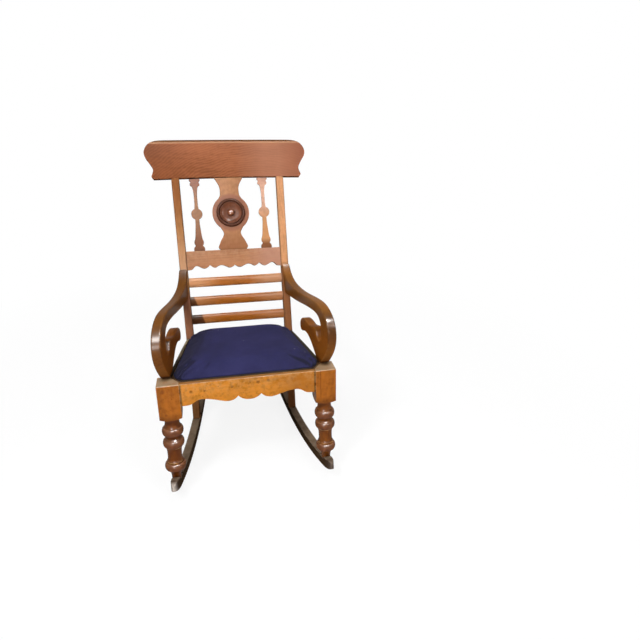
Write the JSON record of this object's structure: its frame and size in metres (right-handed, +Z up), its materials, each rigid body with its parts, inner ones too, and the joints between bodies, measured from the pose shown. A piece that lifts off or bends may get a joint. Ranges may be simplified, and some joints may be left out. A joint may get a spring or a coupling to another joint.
{
  "type": "rocking chair",
  "caption": "Scroll-arm wooden rocking chair with a tablet crest, roundel splat, ladder slats, turned front legs and a lift-out padded seat.",
  "frame": {"origin": "on the floor, under the middle of the chair's bounding box", "axes": "+X to the sitter's left, +Y to the rear, +Z up; the chair stands at rest on its rockers, leaning back a little"},
  "size_m": [0.604, 0.8296, 1.0578],
  "materials": {
    "crest_wood": "satin",
    "post_wood": "satin",
    "splat_wood": "satin",
    "roundel_wood": "satin",
    "slat_wood": "gloss",
    "arm_wood": "gloss",
    "leg_wood": "satin",
    "rocker_wood": "matte",
    "hidden_wood": "matte",
    "base_cloth": "matte",
    "seat_cloth": "matte"
  },
  "bodies": {
    "chair": {"crest_rail": "crest_wood", "back_post_left": "post_wood", "back_post_right": "post_wood", "side_rail_left": "post_wood", "side_rail_right": "post_wood", "rear_rail": "post_wood", "back_rail": "splat_wood", "splat_center": "splat_wood", "side_splat_left": "splat_wood", "side_splat_right": "splat_wood", "roundel": "roundel_wood", "roundel_button": "roundel_wood", "slat_upper": "slat_wood", "slat_middle": "slat_wood", "slat_lower": "slat_wood", "arm_left": "arm_wood", "arm_right": "arm_wood", "front_leg_left": "leg_wood", "front_leg_right": "leg_wood", "front_apron": "leg_wood", "rocker_left": "rocker_wood", "rocker_right": "rocker_wood", "corner_block_front_left": "hidden_wood", "corner_block_front_right": "hidden_wood", "corner_block_rear_left": "hidden_wood", "corner_block_rear_right": "hidden_wood"},
    "drop_in_seat": {"seat_frame_front": "hidden_wood", "seat_frame_rear": "hidden_wood", "seat_frame_side_left": "hidden_wood", "seat_frame_side_right": "hidden_wood", "seat_base": "base_cloth", "seat_cushion": "seat_cloth"}
  },
  "joints": [
    {"name": "seat_lift", "type": "slide", "parent": "chair", "child": "drop_in_seat", "axis": [0, 0.1444, 0.9895], "range_m": [0, 0.09]}
  ]
}
